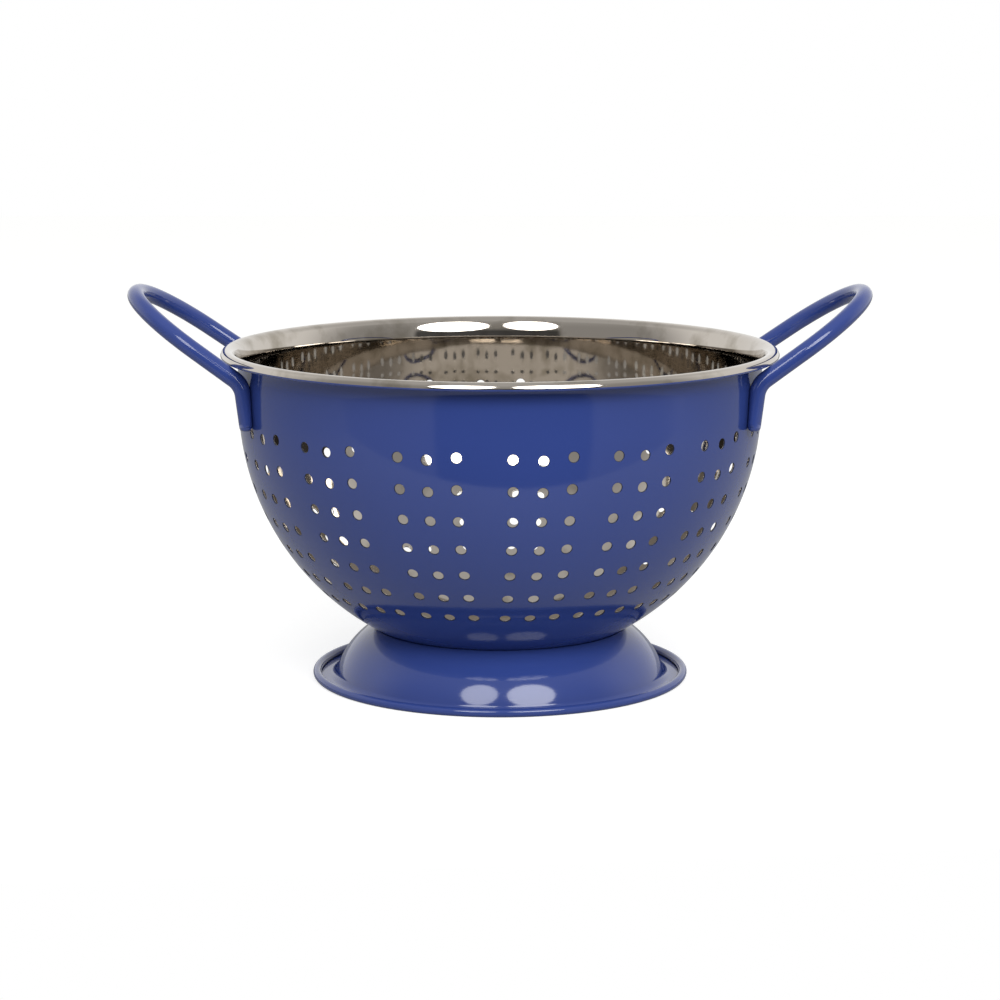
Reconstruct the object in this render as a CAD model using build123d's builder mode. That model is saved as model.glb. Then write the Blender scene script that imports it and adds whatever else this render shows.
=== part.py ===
"""Footed colander: a perforated pressed bowl on a flared foot ring, with two wire loop handles."""

from build123d import *

import os
from math import cos, radians, sin, sqrt, tan

os.makedirs("parts", exist_ok=True)

# Heights are measured from the table, radii from the bowl's axis. The front is at -Y and the handles lie along X.

# Bowl: half a ball with a flat bottom, below a straight neck that flares out over a shoulder to a rolled rim
bowl_sheet = 0.6 * MM
bowl_radius = 103.1 * MM
base_height = 11.0 * MM
base_radius = 25.9 * MM
base_knuckle_radius = 15.0 * MM
neck_height = 21.9 * MM
rim_overhang = 6.9 * MM
rim_bead_diameter = 3.8 * MM
rim_flare_radius = 20.4 * MM
rim_shoulder_radius = 3.4 * MM

# Holes in the wall, punched in groups of three columns. Their edges have eight sides, since there are hundreds.
hole_diameter = 4.2 * MM
hole_sides = 8
row_count = 7
top_row_drop = 7.8 * MM
row_pitch = 12.2 * MM
top_column_pitch = 11.2 * MM
bottom_column_pitch = 9.4 * MM
punch_overrun = 2.0 * MM

# Middle of each group in degrees, from the front towards the right: the indexing of the punch is a little uneven
group_angles = (
    8.9, 31.3, 54.3, 77.3, 100.2, 123.0, 145.9, 168.8,
    190.9, 212.5, 234.0, 255.6, 277.1, 298.7, 321.3, 344.9,
)

# The middle column sits a little low and the right one a little high, mostly in the top two rows
column_stagger = 0.6 * MM
column_shares = (0.0, -1.0, 1.0)
row_shares = (1.0, 0.9, 0.1, 0.3, 0.4, 0.4, 0.2)

# Holes in the bottom, in rings round the middle one: the outer ring sits where the bottom turns up
base_ring_pitch = 10.5 * MM
base_ring_counts = (1, 6, 12, 18)
base_punch_reach = 6.0 * MM

# Foot ring
foot_sheet = 0.6 * MM
foot_wall_radius = 66.1 * MM
foot_wall_bulge = 33.3 * MM
foot_flange_width = 8.8 * MM
foot_bead_diameter = 3.3 * MM
foot_flange_fillet = 3.0 * MM
foot_seat_radius = 50.0 * MM
foot_seat_width = 5.0 * MM
foot_seat_fillet = 1.2 * MM

# How far, in degrees, a rolled edge curls round before its raw edge tucks back against the sheet
curl_turn = 290.0

# Handles
wire_diameter = 6.6 * MM
wire_end_round = 1.0 * MM
handle_width = 78.5 * MM
handle_tip_width = 65.0 * MM
handle_slope = 35.2
handle_reach = 54.9 * MM
handle_bend_drop = 11.2 * MM
handle_bend_radius = 14.5 * MM
leg_length = 17.2 * MM
leg_flat_depth = 0.9 * MM

# How much of the loop's end is rounded: at 1 its two corners meet in one arc
handle_round_share = 0.98

ball_centre_height = base_height + sqrt(bowl_radius**2 - base_radius**2)
ball_centre = Vector(0, ball_centre_height)
rim_height = ball_centre_height + neck_height
rim_bead_centre = Vector(bowl_radius + rim_overhang, rim_height) - Vector(1, 1) * rim_bead_diameter / 2
lip_height = rim_height - bowl_sheet
shoulder_centre = Vector(rim_bead_centre.X, lip_height - rim_shoulder_radius)

# The flare runs into the shoulder from inside, so their centres are as far apart as their radii differ
flare_reach = bowl_radius + rim_flare_radius - shoulder_centre.X
flare_rise = sqrt((rim_flare_radius - rim_shoulder_radius) ** 2 - flare_reach**2)
flare_centre = shoulder_centre + Vector(flare_reach, -flare_rise)
flare_end_out = Vector(-flare_reach, flare_rise).normalized()


def arc_about(centre, start, end):
    """Arc of less than half a turn from start to end, round a centre."""
    middle = (start + end) / 2 - centre
    return ThreePointArc(start, centre + middle.normalized() * (start - centre).length, end)


def bowl_skin(inset):
    """Meridian of the bowl at a depth inside its outer skin, from the axis to the raw edge of the rim."""
    radius = bowl_radius - inset
    floor_height = base_height + inset
    floor_edge = Vector(sqrt(radius**2 - (ball_centre_height - floor_height) ** 2), floor_height)
    neck_foot = Vector(radius, ball_centre_height)
    neck_top = Vector(radius, flare_centre.Y)
    flare_end = flare_centre + flare_end_out * (rim_flare_radius + inset)
    lip_top = Vector(rim_bead_centre.X, lip_height + inset)
    with BuildLine() as skin:
        Line((0, floor_height), floor_edge)
        arc_about(ball_centre, floor_edge, neck_foot)
        Line(neck_foot, neck_top)
        arc_about(flare_centre, neck_top, flare_end)
        arc_about(shoulder_centre, flare_end, lip_top)
        CenterArc(rim_bead_centre, lip_top.Y - rim_bead_centre.Y, 90, -curl_turn)
        fillet(skin.vertices().sort_by_distance(floor_edge)[0], base_knuckle_radius - inset)
    return skin.line


def sheet_section(skin, sheet):
    """Closed outline of a sheet between its two skins."""
    outer, inner = skin(0), skin(sheet)
    add(outer)
    add(inner)
    Line(outer @ 0, inner @ 0)
    Line(outer @ 1, inner @ 1)


def punch_plane(angle, drop, sideways):
    """Plane that faces out of the bowl from under its skin: an arc length below the neck, and sideways of an angle."""
    slope = drop / bowl_radius
    turn = radians(angle) + sideways / (bowl_radius * cos(slope))
    out = Vector(sin(turn) * cos(slope), -cos(turn) * cos(slope), -sin(slope))
    return Plane(
        origin=Vector(0, 0, ball_centre_height) + out * (bowl_radius - punch_overrun),
        x_dir=(cos(turn), sin(turn), 0),
        z_dir=out,
    )


punch_planes = []
for row in range(row_count):
    column_pitch = top_column_pitch + (bottom_column_pitch - top_column_pitch) * row / (row_count - 1)
    for angle in group_angles:
        for column, column_share in enumerate(column_shares):
            rise = column_stagger * column_share * row_shares[row % len(row_shares)]
            drop = top_row_drop + row * row_pitch - rise
            punch_planes.append(punch_plane(angle, drop, (column - 1) * column_pitch))

with BuildPart() as bowl:
    with BuildSketch(Plane.XZ):
        with BuildLine():
            sheet_section(bowl_skin, bowl_sheet)
        make_face()
    revolve(axis=Axis.Z)
    with BuildSketch(*punch_planes):
        RegularPolygon(hole_diameter / 2, hole_sides, major_radius=False)
    extrude(amount=2 * punch_overrun, mode=Mode.SUBTRACT)
    with BuildSketch(Plane.XY.offset(base_height - punch_overrun)):
        for ring, count in enumerate(base_ring_counts):
            with PolarLocations(ring * base_ring_pitch, count):
                RegularPolygon(hole_diameter / 2, hole_sides, major_radius=False)
    extrude(amount=base_punch_reach, mode=Mode.SUBTRACT)
bowl.part.label = "bowl"

# Foot ring meridian: a lip that follows the bowl, a bulging wall, a flat flange and an upturned rolled edge
wall_top = Vector(foot_seat_radius, ball_centre_height - sqrt(bowl_radius**2 - foot_seat_radius**2))
wall_foot = Vector(foot_wall_radius, foot_sheet)
wall_chord = wall_foot - wall_top
wall_inward = Vector(wall_chord.Y, -wall_chord.X).normalized()
wall_centre = (wall_top + wall_foot) / 2 + wall_inward * sqrt(foot_wall_bulge**2 - (wall_chord.length / 2) ** 2)
foot_radius = foot_wall_radius + foot_flange_width
foot_bead_centre = Vector(foot_radius - foot_bead_diameter / 2, foot_bead_diameter / 2)


def crossing(centre_a, radius_a, centre_b, radius_b):
    """Outer crossing point of two circles."""
    between = centre_b - centre_a
    along = (between.length**2 + radius_a**2 - radius_b**2) / (2 * between.length)
    across = sqrt(radius_a**2 - along**2)
    unit = between.normalized()
    spots = [centre_a + unit * along + Vector(-unit.Y, unit.X) * side for side in (across, -across)]
    return max(spots, key=lambda spot: spot.X)


def foot_skin(inset):
    """Meridian of the foot ring at a depth inside its outer skin, from the lip's edge to the raw edge of the curl."""
    lip_radius = bowl_radius + inset
    bulge = foot_wall_bulge - inset
    flange_height = foot_sheet - inset
    seat_corner = crossing(ball_centre, lip_radius, wall_centre, bulge)
    flange_corner = Vector(wall_centre.X + sqrt(bulge**2 - (flange_height - wall_centre.Y) ** 2), flange_height)
    lip_slope = (foot_seat_radius - foot_seat_width) / bowl_radius
    lip_edge = ball_centre + Vector(lip_slope, -sqrt(1 - lip_slope**2)) * lip_radius
    with BuildLine() as skin:
        arc_about(ball_centre, lip_edge, seat_corner)
        arc_about(wall_centre, seat_corner, flange_corner)
        Line(flange_corner, (foot_bead_centre.X, flange_height))
        CenterArc(foot_bead_centre, foot_bead_centre.Y - flange_height, -90, curl_turn)
        fillet(skin.vertices().sort_by_distance(seat_corner)[0], foot_seat_fillet - inset)
        fillet(skin.vertices().sort_by_distance(flange_corner)[0], foot_flange_fillet + inset)
    return skin.line


with BuildPart() as foot_ring:
    with BuildSketch(Plane.XZ):
        with BuildLine():
            sheet_section(foot_skin, foot_sheet)
        make_face()
    revolve(axis=Axis.Z)
foot_ring.part.label = "foot_ring"

# Handles: a wire runs up the bowl's side, bends out under the rim and loops back, its legs flattened to the bowl
leg_radius = bowl_radius + wire_diameter / 2 - leg_flat_depth
leg_x = sqrt(leg_radius**2 - (handle_width / 2) ** 2)
handle_bend_height = rim_height - handle_bend_drop
leg_end_height = handle_bend_height - leg_length
tip_x = leg_x + handle_reach * cos(radians(handle_slope))
tip_height = handle_bend_height + handle_reach * sin(radians(handle_slope))
handle_route = (
    Vector(leg_x, -handle_width / 2, leg_end_height),
    Vector(leg_x, -handle_width / 2, handle_bend_height),
    Vector(tip_x, -handle_tip_width / 2, tip_height),
    Vector(tip_x, handle_tip_width / 2, tip_height),
    Vector(leg_x, handle_width / 2, handle_bend_height),
    Vector(leg_x, handle_width / 2, leg_end_height),
)
corner_turn = radians((handle_route[2] - handle_route[1]).get_angle(handle_route[3] - handle_route[2]))
handle_corner_radius = handle_round_share * handle_tip_width / 2 / tan(corner_turn / 2)

with BuildPart() as bowl_form:
    with Locations((0, 0, ball_centre_height)):
        Sphere(bowl_radius)
        Cylinder(bowl_radius, neck_height, align=(Align.CENTER, Align.CENTER, Align.MIN))

with BuildPart() as right_handle:
    with BuildLine() as wire:
        FilletPolyline(
            *handle_route,
            radius=(handle_bend_radius, handle_corner_radius, handle_corner_radius, handle_bend_radius),
        )
    with BuildSketch(Plane(wire.line @ 0, z_dir=wire.line % 0)):
        Circle(wire_diameter / 2)
    sweep()
    fillet(right_handle.edges().group_by(Axis.Z)[0], wire_end_round)
    add(bowl_form.part, mode=Mode.SUBTRACT)
right_handle.part.label = "right_handle"

with BuildPart() as left_handle:
    add(right_handle.part)
    mirror(about=Plane.YZ, mode=Mode.REPLACE)
left_handle.part.label = "left_handle"

for piece in (bowl, foot_ring, left_handle, right_handle):
    export_step(piece.part, f"parts/{piece.part.label}.step")
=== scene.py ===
"""Footed colander dressed for a studio picture: gloss blue paint outside, bare polished steel inside.

Lengths are real and in metres, the table is at z = 0, the front is at -Y and the handles lie along X.
"""

from math import acos, atan2, ceil, cos, pi, radians, sin, sqrt, tan

import bpy
from bpy.props import FloatProperty, FloatVectorProperty, IntProperty, PointerProperty
from bpy.types import Operator, Panel, PropertyGroup
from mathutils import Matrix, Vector
from mathutils.geometry import delaunay_2d_cdt
from mathutils.kdtree import KDTree


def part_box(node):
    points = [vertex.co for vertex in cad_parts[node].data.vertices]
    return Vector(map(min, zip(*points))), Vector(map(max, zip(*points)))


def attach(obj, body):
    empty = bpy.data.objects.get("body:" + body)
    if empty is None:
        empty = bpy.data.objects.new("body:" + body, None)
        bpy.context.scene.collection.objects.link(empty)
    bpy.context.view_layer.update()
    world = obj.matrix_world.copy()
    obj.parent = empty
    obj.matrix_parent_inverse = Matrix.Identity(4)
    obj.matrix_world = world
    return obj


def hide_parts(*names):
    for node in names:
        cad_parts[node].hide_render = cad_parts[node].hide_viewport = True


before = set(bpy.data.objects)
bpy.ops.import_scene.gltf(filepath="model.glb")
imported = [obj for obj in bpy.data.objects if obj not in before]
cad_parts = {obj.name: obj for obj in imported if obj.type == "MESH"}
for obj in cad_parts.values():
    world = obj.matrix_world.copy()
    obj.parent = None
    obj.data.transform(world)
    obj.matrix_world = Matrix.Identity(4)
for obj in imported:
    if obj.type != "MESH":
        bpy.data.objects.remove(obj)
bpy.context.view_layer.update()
bowl_low, bowl_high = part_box("bowl")
foot_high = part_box("foot_ring")[1]
handle_low, handle_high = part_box("right_handle")

bl_info = {
    "name": "Footed Colander",
    "version": (1, 0, 0),
    "blender": (4, 5, 0),
    "location": "3D View > Sidebar > Colander",
    "description": "Adds a painted steel colander with a foot ring and wire handles, and a studio for it",
    "category": "Add Mesh",
}

MM = 0.001

# How far the crest of the lip lies below the solid's rolled rim
CREST_DROP = 0.6 * MM

# Mesh segments round the turned pieces and round the wire
TURNED_SEGMENTS = 288
WIRE_SEGMENTS = 48

# Colours of the room that the colander reflects
SIDE_WALLS = (0.39, 0.385, 0.38, 1)
PALE_COVE = (1.0, 1.0, 1.0, 1)
CEILING = (0.6, 0.6, 0.6, 1)
UNLIT_GAP = (0.09, 0.09, 0.092, 1)

# What the softboxes face: the front of the foot
SOFTBOX_TARGET = (0, -70 * MM, 0)

# How much lighter the table is for the camera than its board, so that it shows white
TABLE_LIFT = 0.66

# Middle of each group of holes in degrees, from the front towards the right: they are a little uneven
GROUP_ANGLES = (
    8.9, 31.3, 54.3, 77.3, 100.2, 123.0, 145.9, 168.8,
    190.9, 212.5, 234.0, 255.6, 277.1, 298.7, 321.3, 344.9,
)

# The middle column of a group sits a little low and the right one a little high, mostly in the top two rows
COLUMN_SHARES = (0.0, -1.0, 1.0)
ROW_SHARES = (1.0, 0.9, 0.1, 0.3, 0.4, 0.4, 0.2)

# Holes in the bottom, by ring from the middle
BASE_RING_COUNTS = (1, 6, 12, 18)

# Bends of the rim, each as the radius of its bare face and its turn: from the neck up to the crest, then
# down the lip to the hem that tucks the raw edge away
FLARE_BENDS = ((17.0 * MM, radians(25)), (3.0 * MM, radians(20)), (4.0 * MM, radians(45)))
LIP_BENDS = (
    (2.2 * MM, radians(61)), (4.4 * MM, radians(14)), (1.2 * MM, radians(15)), (0.9 * MM, radians(200)),
)


def linear(hex_colour):
    """Linear colour of an sRGB hex value."""
    shares = [int(hex_colour[i:i + 2], 16) / 255 for i in (1, 3, 5)]
    return [share / 12.92 if share <= 0.04045 else ((share + 0.055) / 1.055) ** 2.4 for share in shares]


class BowlSizes(PropertyGroup):
    """The pressed bowl: half a ball with a flat bottom, below a neck that flares to a hemmed lip."""

    sheet: FloatProperty(name="Sheet", description="Thickness of the steel", default=0.6 * MM, unit="LENGTH")
    radius: FloatProperty(name="Radius", description="Outer radius of the neck and of the ball below it",
                          default=103.1 * MM, unit="LENGTH")
    rim_height: FloatProperty(name="Rim height", description="Height of the crest above the table",
                              default=bowl_high.z - CREST_DROP, unit="LENGTH")
    base_height: FloatProperty(name="Bottom height", description="Height of the flat bottom above the table",
                               default=bowl_low.z, unit="LENGTH")
    base_radius: FloatProperty(name="Bottom radius",
                               description="Radius at which the ball meets the flat bottom",
                               default=25.9 * MM, unit="LENGTH")
    knuckle: FloatProperty(name="Knuckle", description="Radius of the bend from the bottom to the wall",
                           default=15.0 * MM, unit="LENGTH")


class HoleSizes(PropertyGroup):
    """The punched holes of the wall and of the bottom."""

    diameter: FloatProperty(name="Diameter", description="Width of a hole", default=3.95 * MM, unit="LENGTH")
    edge: FloatProperty(name="Edge", description="Rounding of a hole's edges", default=0.2 * MM,
                        unit="LENGTH")
    sides: IntProperty(name="Sides", description="Mesh segments round a hole", default=28, min=8)
    rows: IntProperty(name="Rows", description="Rows of holes in the wall", default=7, min=1)
    top_drop: FloatProperty(name="Top row",
                            description="Distance from the neck down to the top row, along the wall",
                            default=7.8 * MM, unit="LENGTH")
    row_pitch: FloatProperty(name="Row pitch", description="Distance between rows, along the wall",
                             default=12.2 * MM, unit="LENGTH")
    top_column_pitch: FloatProperty(name="Top column pitch",
                                    description="Distance between holes in the top row",
                                    default=11.2 * MM, unit="LENGTH")
    low_column_pitch: FloatProperty(name="Low column pitch",
                                    description="Distance between holes in the lowest row",
                                    default=9.4 * MM, unit="LENGTH")
    stagger: FloatProperty(name="Stagger", description="How far the columns are out of line with each other",
                           default=0.6 * MM, unit="LENGTH")
    ring_pitch: FloatProperty(name="Ring pitch",
                              description="Distance between the rings of holes in the bottom",
                              default=10.5 * MM, unit="LENGTH")


class FootSizes(PropertyGroup):
    """The pressed foot ring: a lip under the bowl, a bulging wall, a flat flange and a rolled edge."""

    sheet: FloatProperty(name="Sheet", description="Thickness of the steel", default=0.6 * MM, unit="LENGTH")
    radius: FloatProperty(name="Radius", description="Radius over the rolled edge",
                          default=foot_high.x, unit="LENGTH")
    bead: FloatProperty(name="Foot bead", description="Diameter of the rolled edge",
                        default=3.3 * MM, unit="LENGTH")
    curl: FloatProperty(name="Curl", description="How far the rolled edge turns before its raw edge",
                        default=radians(290), subtype="ANGLE", unit="ROTATION")
    wall_radius: FloatProperty(name="Wall radius", description="Radius of the wall where it meets the flange",
                               default=66.1 * MM, unit="LENGTH")
    bulge: FloatProperty(name="Bulge", description="Radius of the wall's profile", default=33.3 * MM,
                         unit="LENGTH")
    flange_bend: FloatProperty(name="Flange bend",
                               description="Radius of the bend from the wall to the flange",
                               default=3.0 * MM, unit="LENGTH")
    seat_radius: FloatProperty(name="Seat radius", description="Radius at which the bowl rests on the foot",
                               default=50.0 * MM, unit="LENGTH")
    seat_width: FloatProperty(name="Seat width", description="How far the lip reaches in under the bowl",
                              default=5.0 * MM, unit="LENGTH")
    seat_bend: FloatProperty(name="Seat bend", description="Radius of the bend from the lip to the wall",
                             default=1.2 * MM, unit="LENGTH")


class HandleSizes(PropertyGroup):
    """A bent wire loop with two legs up the bowl's side."""

    wire: FloatProperty(name="Wire", description="Diameter of the painted wire", default=6.6 * MM,
                        unit="LENGTH")
    width: FloatProperty(name="Width", description="Distance between the legs' bends", default=78.5 * MM,
                         unit="LENGTH")
    tip_width: FloatProperty(name="Tip width", description="Width of the loop where its end would be square",
                             default=65.0 * MM, unit="LENGTH")
    roundness: FloatProperty(name="Roundness", description="How much of the loop's end is one round arc",
                             default=0.98, subtype="FACTOR", min=0.1, max=0.99)
    slope: FloatProperty(name="Slope", description="Angle of the loop above the level",
                         default=radians(35.2), subtype="ANGLE", unit="ROTATION")
    reach: FloatProperty(name="Reach", description="Length of the loop from its bend to its tip",
                         default=54.1 * MM, unit="LENGTH")
    bend_drop: FloatProperty(name="Bend drop", description="How far below the rim's top the wire bends out",
                             default=10.2 * MM, unit="LENGTH")
    bend_radius: FloatProperty(name="Bend radius", description="Radius of the bend from the leg to the loop",
                               default=8.0 * MM, unit="LENGTH")
    leg_end: FloatProperty(name="Leg end", description="Height of the lower end of a leg",
                           default=handle_low.z, unit="LENGTH")
    leg_end_width: FloatProperty(name="Leg spread", description="Distance between the lower ends of the legs",
                                 default=82.0 * MM, unit="LENGTH")
    leg_flat: FloatProperty(name="Leg flat", description="How deep the leg is flattened against the bowl",
                            default=0.3 * MM, unit="LENGTH")
    end_thickness: FloatProperty(name="End thickness",
                                 description="Thickness to which a leg's end is pressed",
                                 default=4.5 * MM, unit="LENGTH")
    end_round: FloatProperty(name="End rounding", description="Rounding of the wire's cut ends",
                             default=1.6 * MM, unit="LENGTH")


class FinishSettings(PropertyGroup):
    """Colours of the paint and the steel."""

    paint: FloatVectorProperty(name="Paint", description="Colour of the blue paint", subtype="COLOR",
                               default=linear("#2e4080"), min=0, max=1)
    steel: FloatVectorProperty(name="Steel", description="Colour of the bare stainless steel",
                               subtype="COLOR",
                               default=linear("#c2bbb2"), min=0, max=1)
    grime: FloatVectorProperty(name="Grime", description="Colour of the steel in its smudges and specks",
                               subtype="COLOR", default=linear("#8d8576"), min=0, max=1)


class StudioSettings(PropertyGroup):
    """The table, the lights and the camera."""

    table: FloatVectorProperty(name="Table", description="Colour of the table", subtype="COLOR",
                               default=linear("#bdbdbb"), min=0, max=1)
    table_front: FloatProperty(name="Table front",
                               description="How far the table reaches in front of the colander",
                               default=0.262, unit="LENGTH")
    table_skew: FloatProperty(name="Table skew", description="How far the table's front edge is turned",
                              default=0.12, subtype="ANGLE", unit="ROTATION")
    dark_left: FloatProperty(name="Dark left", description="Left end of the unlit part of the room in front",
                             default=radians(-28), subtype="ANGLE", unit="ROTATION")
    dark_right: FloatProperty(name="Dark right",
                              description="Right end of the unlit part of the room in front",
                              default=radians(40), subtype="ANGLE", unit="ROTATION")
    dark_top: FloatProperty(name="Dark top",
                            description="How high the unlit part of the room in front reaches",
                            default=radians(20), subtype="ANGLE", unit="ROTATION")
    left_power: FloatProperty(name="Left softbox", description="Power of the left softbox", default=5.7,
                              unit="POWER")
    right_power: FloatProperty(name="Right softbox", description="Power of the right softbox", default=9.7,
                               unit="POWER")
    camera_distance: FloatProperty(name="Camera distance", description="How far in front the camera stands",
                                   default=1.1419, unit="LENGTH")
    camera_height: FloatProperty(name="Camera height", description="Height of the camera above the table",
                                 default=0.2707, unit="LENGTH")
    camera_pitch: FloatProperty(name="Camera pitch", description="How far the camera looks down",
                                default=radians(9.947), subtype="ANGLE", unit="ROTATION")
    lens: FloatProperty(name="Lens", description="Focal length in millimetres on a 36 mm sensor",
                        default=104.83)


class SheetPath:
    """Meridian of a pressed sheet, drawn as straight runs and bends. Its points are (radius, height)."""

    def __init__(self, start, heading):
        self.end = Vector(start)
        self.heading = heading
        self.length = 0.0
        self.runs = []

    def add_run(self, length, curvature):
        """Lengthen the path. Positive curvature turns left."""
        self.runs.append((self.length, self.end, self.heading, curvature))
        self.length += length
        self.end, left = self.at(self.length)
        self.heading += curvature * length

    def straight(self, length):
        self.add_run(length, 0.0)

    def bend(self, radius, turn):
        self.add_run(radius * abs(turn), turn / (radius * abs(turn)))

    def at(self, distance):
        """Point and left-hand normal at a distance along the path."""
        begun = [run for run in self.runs if run[0] <= distance or run is self.runs[0]]
        start, point, heading, curvature = begun[-1]
        travel = distance - start
        end_heading = heading + curvature * travel
        if curvature:
            across = Vector((sin(end_heading) - sin(heading), cos(heading) - cos(end_heading))) / curvature
        else:
            across = Vector((cos(heading), sin(heading))) * travel
        return point + across, Vector((-sin(end_heading), cos(end_heading)))

    def stations(self, first, last, longest, widest):
        """Distances that divide the runs from first to last into even steps, within a length and a turn."""
        marks = [first]
        ends = [run[0] for run in self.runs[1:]] + [self.length]
        for (start, _, _, curvature), end in zip(self.runs, ends):
            low, high = max(start, first), min(end, last)
            if high > low:
                steps = max(ceil((high - low) / longest), ceil(abs(curvature) * (high - low) / widest))
                marks += [low + (high - low) * (step + 1) / steps for step in range(steps)]
        return marks

    def on_sheet(self, distance, azimuth, depth):
        """Place in space at a depth to the left of the path, and the left-hand normal there."""
        point, left = self.at(distance)
        out = Vector((sin(azimuth), -cos(azimuth), 0))
        up = Vector((0, 0, 1))
        place = point + left * depth
        return out * place.x + up * place.y, out * left.x + up * left.y


class MeshDraft:
    """Points with their true normals, and faces with the number of their material, collected for one mesh."""

    def __init__(self):
        self.points = []
        self.normals = []
        self.faces = []
        self.materials = []

    def add_point(self, point, normal):
        self.points.append(point)
        self.normals.append(normal)
        return len(self.points) - 1

    def add_face(self, corners, material=0):
        """Add a face, wound so that it faces the way its corners' normals do."""
        a, b, c = (self.points[corner] for corner in corners[:3])
        facing = sum((self.normals[corner] for corner in corners), Vector((0, 0, 0)))
        self.faces.append(corners if (b - a).cross(c - b).dot(facing) > 0 else corners[::-1])
        self.materials.append(material)

    def add_band(self, ring, next_ring, material=0):
        """Join two closed rings of as many points."""
        for i in range(len(ring)):
            j = (i + 1) % len(ring)
            self.add_face((ring[i], ring[j], next_ring[j], next_ring[i]), material)

    def build(self, name, *materials):
        """Make the object, with the true normals on its mesh."""
        mesh = bpy.data.meshes.new(name)
        mesh.from_pydata(self.points, [], self.faces)
        mesh.polygons.foreach_set("material_index", self.materials)
        for material in materials:
            mesh.materials.append(material)
        mesh.shade_smooth()
        mesh.normals_split_custom_set_from_vertices(self.normals)
        piece = bpy.data.objects.new(name, mesh)
        bpy.context.scene.collection.objects.link(piece)
        return piece


def even_azimuths(count):
    return [2 * pi * i / count for i in range(count)]


def add_ring(draft, path, distance, depth, azimuths, facing):
    """Add a ring of points on one skin of a turned sheet. Facing is 1 for the left skin, -1 for the right."""
    ring = []
    for azimuth in azimuths:
        place, left = path.on_sheet(distance, azimuth, depth)
        ring.append(draft.add_point(place, left * facing))
    return ring


def add_raw_edge(draft, path, distance, depth, azimuths, facing, material=0):
    """Close the cut edge between the two skins at one end of the path. Facing is 1 at the far end."""
    rings = []
    point, left = path.at(distance)
    for edge_depth in (0.0, depth):
        ring = []
        for azimuth in azimuths:
            place = path.on_sheet(distance, azimuth, edge_depth)[0]
            out = Vector((sin(azimuth), -cos(azimuth), 0))
            ring.append(draft.add_point(place, (out * left.y - Vector((0, 0, left.x))) * facing))
        rings.append(ring)
    draft.add_band(*rings, material)


def ball_height(bowl):
    """Height of the ball's centre above the table."""
    return bowl.base_height + sqrt(bowl.radius**2 - bowl.base_radius**2)


def bowl_path(bowl):
    """Outer skin of the bowl, from the bottom's middle to the rim's raw edge. The inside is on its left."""
    ball = ball_height(bowl)
    knuckle_turn = acos((ball - bowl.base_height - bowl.knuckle) / (bowl.radius - bowl.knuckle))
    flare_height = bowl.rim_height
    turned = 0.0
    for radius, turn in FLARE_BENDS:
        flare_height -= radius * (sin(turned + turn) - sin(turned))
        turned += turn
    path = SheetPath((0, bowl.base_height), 0)
    path.straight((bowl.radius - bowl.knuckle) * sin(knuckle_turn))
    path.bend(bowl.knuckle, knuckle_turn)
    path.bend(bowl.radius, pi / 2 - knuckle_turn)
    path.straight(flare_height - ball)
    for radius, turn in FLARE_BENDS + LIP_BENDS:
        path.bend(radius - bowl.sheet, -turn)
    return path


def hole_centres(path, holes, neck, radius):
    """Distance along the path and azimuth of each hole. The wall's rows are counted down from the neck."""
    centres = []
    for row in range(holes.rows):
        share = row / max(holes.rows - 1, 1)
        column_pitch = holes.top_column_pitch + (holes.low_column_pitch - holes.top_column_pitch) * share
        for angle in GROUP_ANGLES:
            for column, column_share in enumerate(COLUMN_SHARES):
                rise = holes.stagger * column_share * ROW_SHARES[row % len(ROW_SHARES)]
                drop = holes.top_drop + row * holes.row_pitch - rise
                turn = (column - 1) * column_pitch / (radius * cos(drop / radius))
                centres.append((neck - drop, radians(angle) + turn))
    for ring, count in enumerate(BASE_RING_COUNTS):
        centres += [(ring * holes.ring_pitch, pi / 2 + azimuth) for azimuth in even_azimuths(count)]
    return centres


class PunchedHole:
    """A round hole through a turned sheet, with a flat map of the wall for the points round it."""

    def __init__(self, path, distance, azimuth):
        self.path = path
        self.distance = distance
        self.azimuth = azimuth
        radius = path.at(distance)[0].x
        self.stretch = distance / radius if radius else 1.0

    def around(self, radius, sides):
        """Points of the flat map on a circle round the hole."""
        out = Vector((sin(self.azimuth), -cos(self.azimuth)))
        along = Vector((cos(self.azimuth), sin(self.azimuth))) * self.stretch
        centre = out * self.distance
        return [centre + (along * cos(turn) + out * sin(turn)) * radius for turn in even_azimuths(sides)]

    def add_wall_ring(self, draft, radius, sides, depth):
        """Points of the hole's own wall, which face its axis."""
        centre = self.path.on_sheet(self.distance, self.azimuth, depth)[0]
        ring = []
        for spot in self.around(radius, sides):
            place = self.path.on_sheet(*from_map(spot), depth)[0]
            ring.append(draft.add_point(place, (centre - place).normalized()))
        return ring


def to_map(distance, azimuth):
    """The wall laid flat: distance along the path from the middle, in the direction of the azimuth."""
    return Vector((distance * sin(azimuth), -distance * cos(azimuth)))


def from_map(spot):
    return spot.length, atan2(spot.x, -spot.y)


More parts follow.
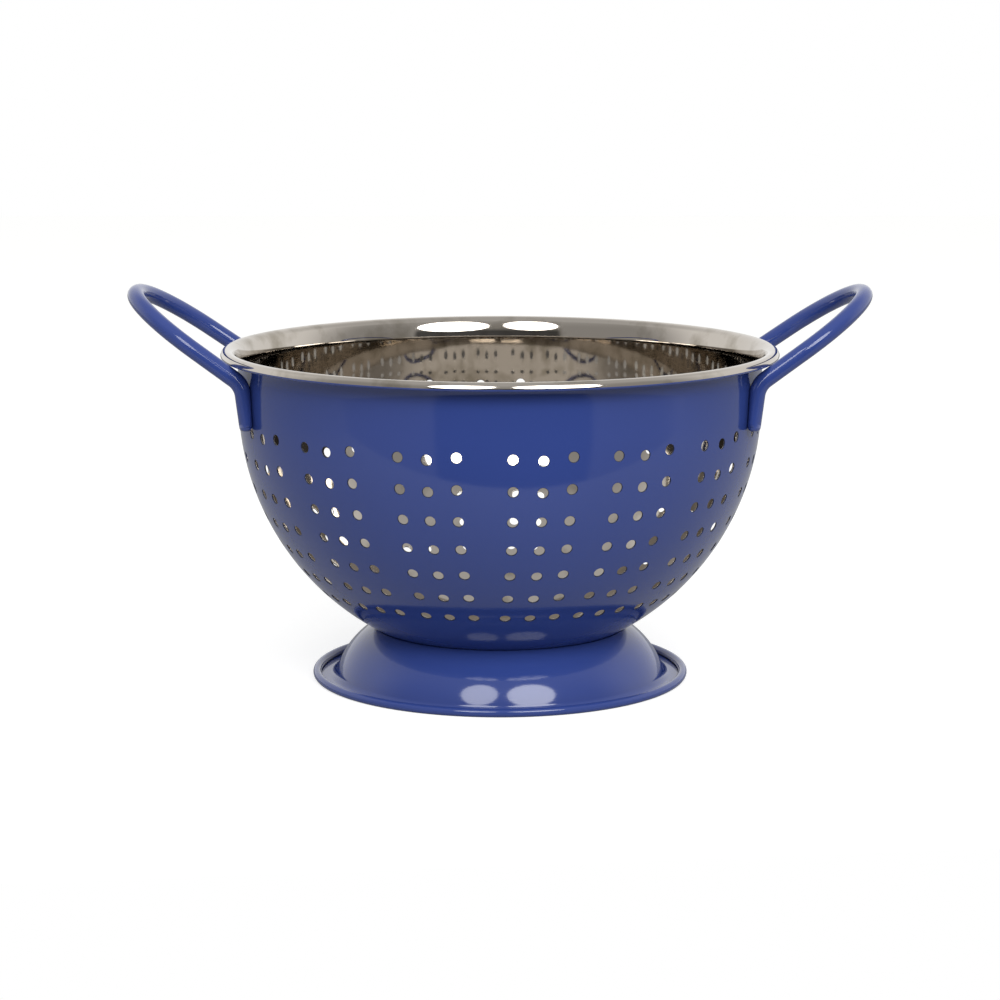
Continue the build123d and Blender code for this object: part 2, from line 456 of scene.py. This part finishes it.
def triangulate_wall(path, punched, holes, edge, azimuths, step):
    """Flat triangles of the holed wall out to an edge ring, with their points and each hole's ring."""
    spots = [to_map(edge, azimuth) for azimuth in azimuths]
    edges = [(i, (i + 1) % len(spots)) for i in range(len(spots))]
    starts = []
    for hole in punched:
        start = len(spots)
        starts.append(start)
        spots += hole.around(holes.diameter / 2 + holes.edge, holes.sides)
        edges += [(start + i, start + (i + 1) % holes.sides) for i in range(holes.sides)]
    first_hole_spot = len(azimuths)
    last_hole_spot = len(spots)

    finder = KDTree(len(punched))
    for i, hole in enumerate(punched):
        finder.insert(path.on_sheet(hole.distance, hole.azimuth, 0)[0], i)
    finder.balance()
    clearance = holes.diameter / 2 + holes.edge + step / 3
    for distance in path.stations(step, edge - step / 2, step, pi)[:-1]:
        count = max(round(2 * pi * path.at(distance)[0].x / step), 6)
        for azimuth in even_azimuths(count):
            if finder.find(path.on_sheet(distance, azimuth, 0)[0])[2] > clearance:
                spots.append(to_map(distance, azimuth))

    made, _, faces, origins, _, _ = delaunay_2d_cdt(spots, edges, [], 0, 1e-7)
    place_of = {origin: place for place, its_origins in enumerate(origins) for origin in its_origins}
    hole_spots = range(first_hole_spot, last_hole_spot)
    hole_of = {place_of[i]: (i - first_hole_spot) // holes.sides for i in hole_spots}
    kept = [face for face in faces if hole_of.get(face[0], -1) < 0 or len({hole_of.get(c) for c in face}) > 1]
    rings = [[place_of[start + i] for i in range(holes.sides)] for start in starts]
    return made, kept, rings, [place_of[i] for i in range(len(azimuths))]


def make_bowl(bowl, holes, paint, steel, hole_shade):
    """The bowl as a sheet with two skins: paint on the outer one, steel on the inner one up to the hem."""
    painted, bare, hole_shade_index = 0, 1, 2
    path = bowl_path(bowl)
    neck = path.runs[3][0]
    azimuths = even_azimuths(TURNED_SEGMENTS)
    wall_edge = neck - holes.top_drop / 3
    punched = [PunchedHole(path, *centre) for centre in hole_centres(path, holes, neck, bowl.radius)]
    spots, triangles, hole_rings, edge_ring = triangulate_wall(path, punched, holes, wall_edge, azimuths,
                                                               3 * MM)

    draft = MeshDraft()
    skins = []
    for depth, facing, material in ((0.0, -1, painted), (bowl.sheet, 1, bare)):
        skin = []
        for spot in spots:
            place, left = path.on_sheet(*from_map(spot), depth)
            skin.append(draft.add_point(place, left * facing))
        for triangle in triangles:
            draft.add_face([skin[corner] for corner in triangle], material)
        skins.append(skin)

    for hole, ring in zip(punched, hole_rings):
        outer_wall = hole.add_wall_ring(draft, holes.diameter / 2, holes.sides, holes.edge)
        inner_wall = hole.add_wall_ring(draft, holes.diameter / 2, holes.sides, bowl.sheet - holes.edge)
        # Each hole's rounded edge and wall take the near-black painted shade and painted dark reflection
        draft.add_band([skins[0][corner] for corner in ring], outer_wall, hole_shade_index)
        draft.add_band(outer_wall, inner_wall, hole_shade_index)
        draft.add_band(inner_wall, [skins[1][corner] for corner in ring], bare)

    paint_edge = path.runs[-1][0]
    marks = path.stations(wall_edge, paint_edge, 3 * MM, radians(9))
    marks += path.stations(paint_edge, path.length, 3 * MM, radians(9))[1:]
    outer, inner = ([skin[corner] for corner in edge_ring] for skin in skins)
    for mark in marks[1:]:
        next_outer = add_ring(draft, path, mark, 0.0, azimuths, -1)
        next_inner = add_ring(draft, path, mark, bowl.sheet, azimuths, 1)
        draft.add_band(outer, next_outer, painted)
        draft.add_band(inner, next_inner, bare if mark <= paint_edge else painted)
        outer, inner = next_outer, next_inner
    add_raw_edge(draft, path, path.length, bowl.sheet, azimuths, 1, painted)
    return draft.build("painted_bowl", paint, steel, hole_shade)


def crossing(centre_a, radius_a, centre_b, radius_b):
    """Outer crossing point of two circles."""
    between = centre_b - centre_a
    along = (between.length_squared + radius_a**2 - radius_b**2) / (2 * between.length)
    across = sqrt(radius_a**2 - along**2)
    unit = between.normalized()
    spots = [centre_a + unit * along + Vector((-unit.y, unit.x)) * side for side in (across, -across)]
    return max(spots, key=lambda spot: spot.x)


def foot_path(bowl, foot):
    """Upper skin of the foot ring, from the lip's edge under the bowl to the raw edge of its curl."""
    ball = Vector((0, ball_height(bowl)))
    wall_top = Vector((foot.seat_radius, ball.y - sqrt(bowl.radius**2 - foot.seat_radius**2)))
    wall_foot = Vector((foot.wall_radius, foot.sheet))
    chord = wall_foot - wall_top
    inward = Vector((chord.y, -chord.x)).normalized()
    wall = (wall_top + wall_foot) / 2 + inward * sqrt(foot.bulge**2 - chord.length_squared / 4)
    seat = crossing(ball, bowl.radius + foot.seat_bend, wall, foot.bulge - foot.seat_bend)
    bend_height = foot.sheet + foot.flange_bend
    bend_reach = sqrt((foot.bulge + foot.flange_bend) ** 2 - (bend_height - wall.y) ** 2)
    flange_bend = Vector((wall.x + bend_reach, bend_height))

    def direction(start, end):
        return atan2(end.y - start.y, end.x - start.x)

    lip_edge_radius = foot.seat_radius - foot.seat_width
    lip_edge = Vector((lip_edge_radius, ball.y - sqrt(bowl.radius**2 - lip_edge_radius**2)))
    path = SheetPath(lip_edge, direction(ball, lip_edge) + pi / 2)
    path.bend(bowl.radius, direction(ball, seat) - direction(ball, lip_edge))
    path.bend(foot.seat_bend, direction(wall, seat) - pi / 2 - path.heading)
    path.bend(foot.bulge, direction(wall, flange_bend) - direction(wall, seat))
    path.bend(foot.flange_bend, -path.heading)
    path.straight(foot.radius - foot.bead / 2 - flange_bend.x)
    path.bend(foot.bead / 2 - foot.sheet, foot.curl)
    return path


def make_foot_ring(bowl, foot, paint):
    path = foot_path(bowl, foot)
    azimuths = even_azimuths(TURNED_SEGMENTS)
    draft = MeshDraft()
    for depth, facing in ((0.0, 1), (-foot.sheet, -1)):
        rings = [
            add_ring(draft, path, mark, depth, azimuths, facing)
            for mark in path.stations(0.0, path.length, 1.5 * MM, radians(9))
        ]
        for ring, next_ring in zip(rings, rings[1:]):
            draft.add_band(ring, next_ring)
    add_raw_edge(draft, path, 0.0, -foot.sheet, azimuths, -1)
    add_raw_edge(draft, path, path.length, -foot.sheet, azimuths, 1)
    return draft.build("painted_foot_ring", paint)


def rounded_route(corners, radii, step, widest):
    """Points along straight runs that are joined by tangent arcs, with the direction at each."""
    route = []
    last = corners[0]
    for before, corner, after, radius in zip(corners, corners[1:], corners[2:], radii):
        came, goes = (corner - before).normalized(), (after - corner).normalized()
        turn = came.angle(goes)
        tangent = radius * tan(turn / 2)
        start = corner - came * tangent
        count = max(round((start - last).length / step), 1)
        route += [(last.lerp(start, i / count), came) for i in range(count)]
        inward = (goes - came * came.dot(goes)).normalized()
        centre = start + inward * radius
        count = ceil(turn / widest)
        for i in range(count):
            angle = turn * i / count
            place = centre + (came * sin(angle) - inward * cos(angle)) * radius
            route.append((place, came * cos(angle) + inward * sin(angle)))
        last = corner + goes * tangent
    count = max(round((corners[-1] - last).length / step), 1)
    route += [(last.lerp(corners[-1], i / count), goes) for i in range(count + 1)]
    return route


def make_handle(name, side, bowl, handle, paint):
    """A wire loop on one side, 1 for right and -1 for left, with its spread legs against the bowl."""
    radius = handle.wire / 2
    leg_radius = bowl.radius + radius - handle.leg_flat
    bend_x = sqrt(leg_radius**2 - (handle.width / 2) ** 2)
    end_x = sqrt((bowl.radius + handle.end_thickness / 2) ** 2 - (handle.leg_end_width / 2) ** 2)
    tip_x = bend_x + handle.reach * cos(handle.slope)
    bend_height = bowl.rim_height - handle.bend_drop
    tip_height = bend_height + handle.reach * sin(handle.slope)
    corners = [
        Vector((end_x, -handle.leg_end_width / 2, handle.leg_end)),
        Vector((bend_x, -handle.width / 2, bend_height)),
        Vector((tip_x, -handle.tip_width / 2, tip_height)),
        Vector((tip_x, handle.tip_width / 2, tip_height)),
        Vector((bend_x, handle.width / 2, bend_height)),
        Vector((end_x, handle.leg_end_width / 2, handle.leg_end)),
    ]
    corner_turn = (corners[2] - corners[1]).angle(corners[3] - corners[2])
    corner_radius = handle.roundness * handle.tip_width / 2 / tan(corner_turn / 2)
    radii = (handle.bend_radius, corner_radius, corner_radius, handle.bend_radius)
    route = rounded_route(corners, radii, 1.5 * MM, radians(5))

    ball = Vector((0, 0, ball_height(bowl)))
    draft = MeshDraft()
    turns = even_azimuths(WIRE_SEGMENTS)
    last_direction = route[0][1]
    across = last_direction.cross(Vector((0, 1, 0))).normalized()
    rings = []
    end_steps = 6
    for index, (place, direction) in enumerate(route):
        across.rotate(last_direction.rotation_difference(direction))
        last_direction = direction
        up = direction.cross(across)
        out = Vector((place.x, place.y, 0)).normalized()
        aside = Vector((-out.y, out.x, 0))
        pressed = min(max((bend_height - place.z) / (bend_height - handle.leg_end), 0), 1)
        thinning = 1 - pressed * (1 - handle.end_thickness / handle.wire)
        sections = [(0.0, radius)]
        if index in (0, len(route) - 1):
            inward = 1 if index == 0 else -1
            angles = [pi / 2 * i / end_steps for i in range(end_steps + 1)]
            shrink = handle.end_round
            sections = [(inward * shrink * (1 - sin(a)), radius - shrink * (1 - cos(a))) for a in angles]
            sections = sections[::-1] if index == 0 else sections
        for offset, ring_radius in sections:
            ring = []
            for turn in turns:
                normal = across * cos(turn) + up * sin(turn)
                thinned = out * normal.dot(out) * (thinning - 1)
                widened = aside * normal.dot(aside) * (1 / sqrt(thinning) - 1)
                normal += thinned + widened
                point = place + direction * offset + normal * ring_radius
                centre = ball if point.z < ball.z else Vector((0, 0, point.z))
                if (point - centre).length < bowl.radius:
                    point = centre + (point - centre).normalized() * bowl.radius
                ring.append(draft.add_point(Vector((point.x * side, point.y, point.z)),
                                            Vector((normal.x * side, normal.y, normal.z))))
            rings.append(ring)
    for ring, next_ring in zip(rings, rings[1:]):
        draft.add_band(ring, next_ring)
    draft.add_face(rings[0])
    draft.add_face(rings[-1])
    mesh = bpy.data.meshes.new(name)
    mesh.from_pydata(draft.points, [], draft.faces)
    mesh.materials.append(paint)
    mesh.shade_smooth()
    piece = bpy.data.objects.new(name, mesh)
    bpy.context.scene.collection.objects.link(piece)
    return piece


def add_node(tree, kind, inputs=None, **settings):
    """Add a node with its settings, and give its inputs their values or link what feeds them."""
    node = tree.nodes.new(kind)
    for name, value in settings.items():
        setattr(node, name, value)
    for name, value in (inputs or {}).items():
        if isinstance(value, bpy.types.NodeSocket):
            tree.links.new(value, node.inputs[name])
        else:
            node.inputs[name].default_value = value
    return node


def new_material(name):
    """An empty node material, with its tree and the socket that its shader goes to."""
    material = bpy.data.materials.new(name)
    material.use_nodes = True
    tree = material.node_tree
    tree.nodes.clear()
    output = add_node(tree, "ShaderNodeOutputMaterial")
    return material, tree, output.inputs["Surface"]


def gloss_stoved_paint(finish):
    """Sprayed and stoved gloss paint on steel: deep blue, mirror-sharp gloss with a faint orange peel."""
    peel_size = 1.6 * MM
    nib_spacing = 9.0 * MM
    material, tree, surface = new_material("gloss_stoved_blue_paint")
    coordinates = add_node(tree, "ShaderNodeTexCoord").outputs["Object"]
    peel = add_node(tree, "ShaderNodeTexNoise", {"Vector": coordinates, "Scale": 1 / peel_size,
                                                 "Detail": 2.0})
    nibs = add_node(tree, "ShaderNodeTexVoronoi", {"Vector": coordinates, "Scale": 1 / nib_spacing})
    nib_mask = add_node(tree, "ShaderNodeMapRange", {
        "Value": nibs.outputs["Distance"], "From Min": 0.0, "From Max": 0.025, "To Min": 1.0, "To Max": 0.0})
    shade = add_node(tree, "ShaderNodeTexNoise", {"Vector": coordinates, "Scale": 1 / (60 * MM),
                                                  "Detail": 1.0})
    colour = add_node(tree, "ShaderNodeMixRGB", {
        "Fac": shade.outputs["Fac"], "Color1": [*finish.paint, 1],
        "Color2": [*(channel * 1.12 for channel in finish.paint), 1]})
    peel_bump = add_node(tree, "ShaderNodeBump", {
        "Height": peel.outputs["Fac"], "Strength": 0.05, "Distance": 0.004 * MM})
    nib_bump = add_node(tree, "ShaderNodeBump", {
        "Height": nib_mask.outputs["Result"], "Strength": 0.5, "Distance": 0.06 * MM,
        "Normal": peel_bump.outputs["Normal"]})
    shader = add_node(tree, "ShaderNodeBsdfPrincipled", {
        "Base Color": colour.outputs["Color"], "Roughness": 0.09, "IOR": 1.52,
        "Normal": nib_bump.outputs["Normal"]})
    tree.links.new(shader.outputs["BSDF"], surface)
    return material


def polished_stainless_steel(finish):
    """Drawn and polished stainless sheet: near-mirror, a little wavy, with fine rings and smudges."""
    wave_size = 16.0 * MM
    ring_spacing = 0.7 * MM
    smudge_size = 14.0 * MM
    material, tree, surface = new_material("polished_stainless_steel")
    coordinates = add_node(tree, "ShaderNodeTexCoord").outputs["Object"]
    split = add_node(tree, "ShaderNodeSeparateXYZ", {"Vector": coordinates})
    flat = add_node(tree, "ShaderNodeCombineXYZ", {"X": split.outputs["X"], "Y": split.outputs["Y"]})
    radius = add_node(tree, "ShaderNodeVectorMath", {0: flat.outputs["Vector"]}, operation="LENGTH")
    rings_place = add_node(tree, "ShaderNodeCombineXYZ", {"X": radius.outputs["Value"],
                                                          "Y": split.outputs["Z"]})
    rings = add_node(tree, "ShaderNodeTexNoise", {
        "Vector": rings_place.outputs["Vector"], "Scale": 1 / ring_spacing, "Detail": 3.0})
    waves = add_node(tree, "ShaderNodeTexNoise", {"Vector": coordinates, "Scale": 1 / wave_size,
                                                  "Detail": 1.0})
    smudges = add_node(tree, "ShaderNodeTexNoise", {"Vector": coordinates, "Scale": 1 / smudge_size,
                                                    "Detail": 5.0})
    smudge_mask = add_node(tree, "ShaderNodeMapRange", {
        "Value": smudges.outputs["Fac"], "From Min": 0.52, "From Max": 0.75, "To Min": 0.0, "To Max": 0.8})
    colour = add_node(tree, "ShaderNodeMixRGB", {
        "Fac": smudge_mask.outputs["Result"], "Color1": [*finish.steel, 1], "Color2": [*finish.grime, 1]})
    roughness = add_node(tree, "ShaderNodeMapRange", {
        "Value": rings.outputs["Fac"], "From Min": 0.3, "From Max": 0.7, "To Min": 0.03, "To Max": 0.06})
    wave_bump = add_node(tree, "ShaderNodeBump", {
        "Height": waves.outputs["Fac"], "Strength": 1.0, "Distance": 0.035 * MM})
    ring_bump = add_node(tree, "ShaderNodeBump", {
        "Height": rings.outputs["Fac"], "Strength": 0.15, "Distance": 0.003 * MM,
        "Normal": wave_bump.outputs["Normal"]})
    shader = add_node(tree, "ShaderNodeBsdfPrincipled", {
        "Base Color": colour.outputs["Color"], "Metallic": 1.0, "Roughness": roughness.outputs["Result"],
        "Normal": ring_bump.outputs["Normal"]})
    tree.links.new(shader.outputs["BSDF"], surface)
    return material


def hole_edge_painted_shade(finish):
    """Edge of a punched hole: a near-black ring that hardly shines, which is painted shade and painted dark
    reflection of the hole rather than a colour of the paint.
    """
    material, tree, surface = new_material("hole_edge_painted_shade")
    shader = add_node(tree, "ShaderNodeBsdfPrincipled", {
        "Base Color": [*(channel * 0.2 for channel in finish.paint), 1], "Roughness": 0.35, "IOR": 1.5})
    tree.links.new(shader.outputs["BSDF"], surface)
    return material


def shared_material(maker, finish):
    """The material of a maker, made once for all the pieces that have it."""
    made = bpy.data.materials.get(maker.__name__)
    if made is None:
        made = maker(finish)
        made.name = maker.__name__
    return made


def seat_on_frame(piece, node):
    """Let a piece stand for its solid: it rides on the colander's one body, and the solid is hidden."""
    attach(piece, "root")
    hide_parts(node)


class COLANDER_OT_add_bowl(Operator):
    """Add the perforated bowl"""

    bl_idname = "colander.add_bowl"
    bl_label = "Add Bowl"

    def execute(self, context):
        scene = context.scene
        paint = shared_material(gloss_stoved_paint, scene.colander_finish)
        steel = shared_material(polished_stainless_steel, scene.colander_finish)
        # Near-black painted shade and painted dark reflection for the holes' edges and walls
        hole_shade = shared_material(hole_edge_painted_shade, scene.colander_finish)
        piece = make_bowl(scene.colander_bowl, scene.colander_holes, paint, steel, hole_shade)
        seat_on_frame(piece, "bowl")
        return {"FINISHED"}


class COLANDER_OT_add_foot_ring(Operator):
    """Add the foot ring"""

    bl_idname = "colander.add_foot_ring"
    bl_label = "Add Foot Ring"

    def execute(self, context):
        scene = context.scene
        paint = shared_material(gloss_stoved_paint, scene.colander_finish)
        piece = make_foot_ring(scene.colander_bowl, scene.colander_foot, paint)
        seat_on_frame(piece, "foot_ring")
        return {"FINISHED"}


class COLANDER_OT_add_handles(Operator):
    """Add the two wire handles"""

    bl_idname = "colander.add_handles"
    bl_label = "Add Handles"

    def execute(self, context):
        scene = context.scene
        paint = shared_material(gloss_stoved_paint, scene.colander_finish)
        for node, side in (("left_handle", -1), ("right_handle", 1)):
            piece = make_handle(f"painted_{node}", side, scene.colander_bowl, scene.colander_handle, paint)
            seat_on_frame(piece, node)
        return {"FINISHED"}


def white_table(studio):
    """Matt white board: it shows white to the camera and keeps the colander's soft shadow."""
    material, tree, surface = new_material("matt_white_board")
    path = add_node(tree, "ShaderNodeLightPath")
    lift = add_node(tree, "ShaderNodeMath", {0: path.outputs["Is Camera Ray"], 1: TABLE_LIFT},
                    operation="MULTIPLY")
    glow = add_node(tree, "ShaderNodeEmission", {"Strength": lift.outputs["Value"]})
    board = add_node(tree, "ShaderNodeBsdfDiffuse", {"Color": [*studio.table, 1]})
    both = add_node(tree, "ShaderNodeAddShader", {0: glow.outputs["Emission"], 1: board.outputs["BSDF"]})
    tree.links.new(both.outputs["Shader"], surface)
    return material


def add_fade(tree, value, low, high):
    """Rise smoothly from 0 to 1 while a value goes from low to high, which may be the lower of the two."""
    return add_node(tree, "ShaderNodeMapRange", {
        "Value": value, "From Min": low, "From Max": high}, interpolation_type="SMOOTHSTEP").outputs["Result"]


def add_product(tree, *factors):
    product = factors[0]
    for factor in factors[1:]:
        product = add_node(tree, "ShaderNodeMath", {0: product, 1: factor},
                           operation="MULTIPLY").outputs["Value"]
    return product


def light_room(studio):
    """World: white to the camera. To all else a pale cove behind, dimmer sides, an unlit gap in front."""
    world = bpy.data.worlds.new("studio_room")
    bpy.context.scene.world = world
    world.use_nodes = True
    tree = world.node_tree
    tree.nodes.clear()
    direction = add_node(tree, "ShaderNodeTexCoord").outputs["Generated"]
    split = add_node(tree, "ShaderNodeSeparateXYZ", {"Vector": direction})
    forward = add_node(tree, "ShaderNodeMath", {0: split.outputs["Y"], 1: -1.0}, operation="MULTIPLY")
    azimuth = add_node(tree, "ShaderNodeMath", {0: split.outputs["X"], 1: forward.outputs["Value"]},
                       operation="ARCTAN2").outputs["Value"]
    elevation = add_node(tree, "ShaderNodeMath", {0: split.outputs["Z"]},
                         operation="ARCSINE").outputs["Value"]

    behind = add_fade(tree, split.outputs["Y"], -0.35, 0.3)
    above = add_fade(tree, split.outputs["Z"], 0.45, 0.9)
    soft = radians(1.5)
    unlit = add_product(
        tree,
        add_fade(tree, azimuth, studio.dark_left - soft, studio.dark_left + soft),
        add_fade(tree, azimuth, studio.dark_right + soft, studio.dark_right - soft),
        add_fade(tree, elevation, studio.dark_top + 4 * soft, studio.dark_top - 4 * soft))
    colour = add_node(tree, "ShaderNodeMixRGB", {
        "Fac": behind, "Color1": SIDE_WALLS, "Color2": PALE_COVE}).outputs["Color"]
    colour = add_node(tree, "ShaderNodeMixRGB", {
        "Fac": above, "Color1": colour, "Color2": CEILING}).outputs["Color"]
    colour = add_node(tree, "ShaderNodeMixRGB", {
        "Fac": unlit, "Color1": colour, "Color2": UNLIT_GAP}).outputs["Color"]
    path = add_node(tree, "ShaderNodeLightPath")
    colour = add_node(tree, "ShaderNodeMixRGB", {
        "Fac": path.outputs["Is Camera Ray"], "Color1": colour, "Color2": [1, 1, 1, 1]}).outputs["Color"]
    background = add_node(tree, "ShaderNodeBackground", {"Color": colour, "Strength": 1.0})
    add_node(tree, "ShaderNodeOutputWorld", {"Surface": background.outputs["Background"]})


def add_softbox(name, azimuth, elevation, distance, width, height, power):
    """A soft light that faces the colander's foot, at an azimuth from the front towards the right."""
    lamp = bpy.data.lights.new(name, "AREA")
    lamp.shape = "ELLIPSE"
    lamp.size = width
    lamp.size_y = height
    lamp.energy = power
    out = Vector((sin(azimuth) * cos(elevation), -cos(azimuth) * cos(elevation), sin(elevation)))
    softbox = bpy.data.objects.new(name, lamp)
    softbox.location = out * distance + Vector(SOFTBOX_TARGET)
    softbox.rotation_euler = (-out).to_track_quat("-Z", "Y").to_euler()
    bpy.context.scene.collection.objects.link(softbox)


class COLANDER_OT_add_stage(Operator):
    """Add the table, the lights and the camera"""

    bl_idname = "colander.add_stage"
    bl_label = "Add Stage"

    def execute(self, context):
        scene = context.scene
        studio = scene.colander_studio
        side = 1.2
        back = 2.4
        left_front = -studio.table_front - side * tan(studio.table_skew)
        right_front = -studio.table_front + side * tan(studio.table_skew)
        mesh = bpy.data.meshes.new("table")
        mesh.from_pydata([(-side, left_front, 0), (side, right_front, 0), (side, back, 0), (-side, back, 0)],
                         [], [(0, 1, 2, 3)])
        mesh.materials.append(white_table(studio))
        table = bpy.data.objects.new("table", mesh)
        scene.collection.objects.link(table)

        light_room(studio)
        add_softbox("left_softbox", azimuth=radians(-17), elevation=radians(39), distance=1.3,
                    width=0.536, height=0.648, power=studio.left_power)
        add_softbox("right_softbox", azimuth=radians(25.5), elevation=radians(37), distance=1.3,
                    width=0.726, height=0.697, power=studio.right_power)

        camera = bpy.data.objects.new("camera", bpy.data.cameras.new("camera"))
        camera.location = (0, -studio.camera_distance, studio.camera_height)
        camera.rotation_euler = (pi / 2 - studio.camera_pitch, 0, 0)
        camera.data.sensor_width = 36
        camera.data.lens = studio.lens
        scene.collection.objects.link(camera)
        scene.camera = camera
        scene.view_settings.view_transform = "Standard"
        return {"FINISHED"}


class COLANDER_PT_sidebar(Panel):
    """Colander"""

    bl_idname = "COLANDER_PT_sidebar"
    bl_label = "Colander"
    bl_space_type = "VIEW_3D"
    bl_region_type = "UI"
    bl_category = "Colander"

    def draw(self, context):
        for operator in OPERATORS:
            self.layout.operator(operator.bl_idname)
        for name, group in SETTINGS.items():
            box = self.layout.box()
            for setting in group.__annotations__:
                box.prop(getattr(context.scene, name), setting)


SETTINGS = {
    "colander_bowl": BowlSizes,
    "colander_holes": HoleSizes,
    "colander_foot": FootSizes,
    "colander_handle": HandleSizes,
    "colander_finish": FinishSettings,
    "colander_studio": StudioSettings,
}
OPERATORS = (COLANDER_OT_add_bowl, COLANDER_OT_add_foot_ring, COLANDER_OT_add_handles, COLANDER_OT_add_stage)


def register():
    for name, group in SETTINGS.items():
        bpy.utils.register_class(group)
        setattr(bpy.types.Scene, name, PointerProperty(type=group))
    for shown_class in (*OPERATORS, COLANDER_PT_sidebar):
        bpy.utils.register_class(shown_class)


def unregister():
    for shown_class in (COLANDER_PT_sidebar, *reversed(OPERATORS)):
        bpy.utils.unregister_class(shown_class)
    for name, group in reversed(SETTINGS.items()):
        delattr(bpy.types.Scene, name)
        bpy.utils.unregister_class(group)


def main():
    """Build the colander and its stage."""
    register()
    bpy.ops.colander.add_bowl()
    bpy.ops.colander.add_foot_ring()
    bpy.ops.colander.add_handles()
    bpy.ops.colander.add_stage()


if __name__ == "__main__":
    main()
